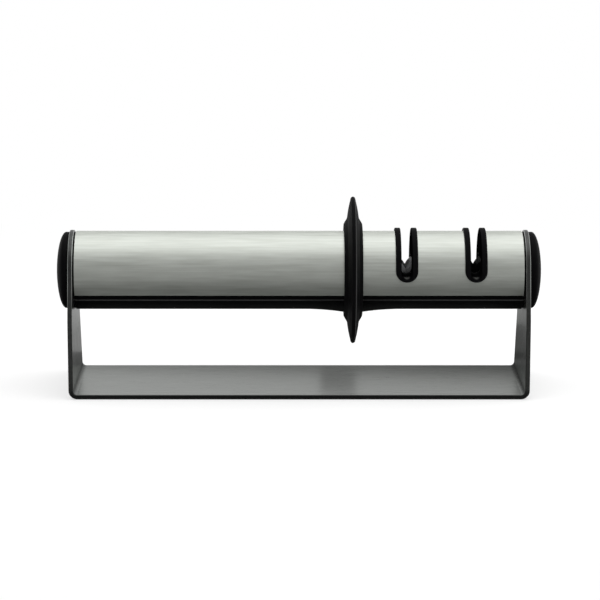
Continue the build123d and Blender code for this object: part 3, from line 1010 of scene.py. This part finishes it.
# %% Turning the guard
HUB_RADIUS = 12.6 * MM
COLLAR_HEIGHT, COLLAR_ROUNDING = 3.7 * MM, 0.8 * MM
ROOT_RISE, ROOT_HALF, ROOT_RADIUS = 3 * MM, 2.95 * MM, 3 * MM
RIM_DEPTH, RIM_HALF = 1.5 * MM, 1.25 * MM
SIDE_BULGE = 0.18 * MM
SIDE_STEPS, TIP_STEPS, GUARD_TURN_STEPS = 6, 16, 192
collar_half = (guard_high.x - guard_low.x) / 2
collar_radius = tube_radius + COLLAR_HEIGHT
root_z = collar_radius + ROOT_RISE
rim_z = guard_radius - RIM_DEPTH
face_line = []
for k in range(1, SIDE_STEPS + 1):
    t = k / SIDE_STEPS
    width = ROOT_HALF + (RIM_HALF - ROOT_HALF) * t + 4 * SIDE_BULGE * t * (1 - t)
    face_line.append((width, root_z + (rim_z - root_z) * t, 0))
tip_turns = [pi / 2 * k / TIP_STEPS for k in range(1, TIP_STEPS + 1)]
tip_line = [(RIM_HALF * cos(turn), rim_z + RIM_DEPTH * sin(turn), 0) for turn in tip_turns]
right_half = [
    (collar_half, HUB_RADIUS, 0),
    (collar_half, collar_radius, COLLAR_ROUNDING),
    (ROOT_HALF, root_z, ROOT_RADIUS),
] + face_line + tip_line
half_points = rounded(right_half + [(0, guard_radius, 0)])[:-1]
guard_points = [(guard_x + p.x, p.y) for p in half_points]
guard_points += [(guard_x - p.x, p.y) for p in reversed(half_points[:-1])]
guard = turn_profile(guard_points, GUARD_TURN_STEPS, closed=True)
add_piece("guard", guard, [guard_black], replaced=["finger_guard"], sharp=40)

# %% [markdown]
# ## The end caps
# A cap is a shallow dome, half an ellipse in section, on a short straight rim. The frame's own cap is
# hollow and has a peg that is out of sight. This one is a closed dome with the same outside, and a small
# rounding at the edge that meets the leg.

# %% Turning the caps
CAP_RIM = 2 * MM
CAP_EDGE = 0.25 * MM
DOME_STEPS, CAP_TURN_STEPS = 24, 144
cap_radius = (cap_high.z - cap_low.z) / 2
rim_end = strap_outer + CAP_RIM
dome_height = cap_high.x - strap_outer - CAP_RIM
dome_turns = [pi / 2 * k / DOME_STEPS for k in range(DOME_STEPS)]
cap_line = [
    (strap_outer, 0),
    (strap_outer, cap_radius - CAP_EDGE),
    (strap_outer + CAP_EDGE, cap_radius),
]
cap_line += [(dome_height * sin(turn) + rim_end, cap_radius * cos(turn)) for turn in dome_turns]
cap_line.append((dome_height + rim_end, 0))
for name, side in (("left", -1), ("right", 1)):
    cap = turn_profile([(side * x, r) for x, r in cap_line], CAP_TURN_STEPS, closed=False)
    add_piece(f"cap_{name}", cap, [cap_black], replaced=[f"end_cap_{name}"], sharp=50)


# %% [markdown]
# ## Finishes of the small and hidden parts
# The sharpening discs are ground all over, and their faces keep fine rings round each disc's own axle, so
# each pair of stacks gets a material for its own place: one is grey hardened steel, the other fine black
# ceramic. The rings are about 0.1 mm apart.

# %% Ground discs
RING = 0.12 * MM


def ground_disc(name, node, colours, metallic, roughness, specular_level=0.5):
    """A disc's finish, with rings round the middle of its node's box."""
    low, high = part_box(node)
    disc = new_material(name, Metallic=metallic, Specular_IOR_Level=specular_level)
    place = add_node(disc, "ShaderNodeTexCoord")
    from_axle = add_node(
        disc,
        "ShaderNodeVectorMath",
        [(0, place.outputs["Object"]), (1, (low + high) / 2)],
        operation="SUBTRACT",
    )
    flat = add_node(
        disc, "ShaderNodeVectorMath", [(0, from_axle.outputs[0]), (1, (1, 0, 1))], operation="MULTIPLY"
    )
    radius = add_node(disc, "ShaderNodeVectorMath", [(0, flat.outputs[0])], operation="LENGTH")
    rings = add_node(
        disc, "ShaderNodeTexNoise", [("W", radius.outputs["Value"])], noise_dimensions="1D", Scale=1 / RING
    )
    paint_by(disc, rings.outputs["Fac"], rings.outputs["Fac"], [linear(c) for c in colours], roughness)
    return disc


disc_finishes = {}
for side in ("left", "right"):
    coarse, fine = f"coarse_roller_{side}", f"fine_roller_{side}"
    disc_finishes[coarse] = ground_disc(
        f"ground_steel_{side}", coarse, ("#7d7e7f", "#9d9e9f"), metallic=1, roughness=0.38
    )
    disc_finishes[fine] = ground_disc(
        f"black_ceramic_{side}",
        fine,
        ("#070708", "#101011"),
        metallic=0,
        roughness=0.4,
        specular_level=0.015,
    )
print("disc finishes:", ", ".join(sorted(disc_finishes)))


# %% [markdown]
# The rest is small or out of sight: drawn axles, zinc-plated screws, nylon washers and the rubber pad. Each
# is a mottled surface with its own colours, grain and gloss: drawn pins are streaked along their length (Y),
# zinc is cloudy in patches of a millimetre, nylon is nearly plain, and rubber has a coarse dull grain.

# %% Mottled finishes
DENT_DEPTH = 0.02 * MM


def mottled(name, colours, roughness, grain_mm, stretch=(1, 1, 1), bump=0.1, **sockets):
    """A finish of one noise between two hex colours; grain_mm is its scale, stretch makes streaks."""
    finish = new_material(name, **sockets)
    place = add_node(finish, "ShaderNodeTexCoord")
    scaled = add_node(
        finish,
        "ShaderNodeMapping",
        [("Vector", place.outputs["Object"])],
        Scale=[1 / (grain_mm * MM * s) for s in stretch],
    )
    noise = add_node(finish, "ShaderNodeTexNoise", [("Vector", scaled.outputs[0])], Scale=1, Detail=4)
    cloud = noise.outputs["Fac"]
    paint_by(finish, cloud, cloud, [linear(c) for c in colours], roughness)
    dents = add_node(finish, "ShaderNodeBump", [("Height", cloud)], Strength=bump, Distance=DENT_DEPTH)
    feed_shader(finish, Normal=dents.outputs[0])
    return finish


drawn_pin = mottled(
    "drawn_pin_steel",
    ("#a4a4a5", "#bcbcbd"),
    roughness=0.25,
    grain_mm=0.12,
    stretch=(1, 60, 1),
    Metallic=1,
)
zinc = mottled("zinc_plate", ("#9a9da2", "#b9bbbf"), roughness=0.3, grain_mm=1.1, Metallic=1)
nylon = mottled(
    "natural_nylon",
    ("#c6c2b4", "#d4d0c4"),
    roughness=0.5,
    grain_mm=0.6,
    Subsurface_Weight=0.15,
    Subsurface_Scale=1 * MM,
)
rubber = mottled("pad_rubber", ("#151515", "#202020"), roughness=0.85, grain_mm=0.4, bump=0.5)
print("pins, screws, washers and pad have their finishes")

# %% [markdown]
# Every node of the frame takes the finish of the material slot that the record gives it, apart from the
# discs and the slots' frames, whose finishes are made for their own places.

# %% Finishes for the frame's own nodes
finishes = {
    "strap_steel": strap_steel,
    "sleeve_steel": sleeve_steel,
    "core_plastic": core_black,
    "guard_plastic": guard_black,
    "cap_plastic": cap_black,
    "cradle_plastic": cradle_black,
    "axle_steel": drawn_pin,
    "screw_steel": zinc,
    "washer_nylon": nylon,
    "pad_rubber": rubber,
}
own_finishes = disc_finishes | slot_frames
for name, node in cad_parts.items():
    slot_name = node.material_slots[0].material.name
    node.data.materials[0] = own_finishes.get(name) or finishes[slot_name]
print("finishes given to", len(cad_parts), "nodes of the frame")
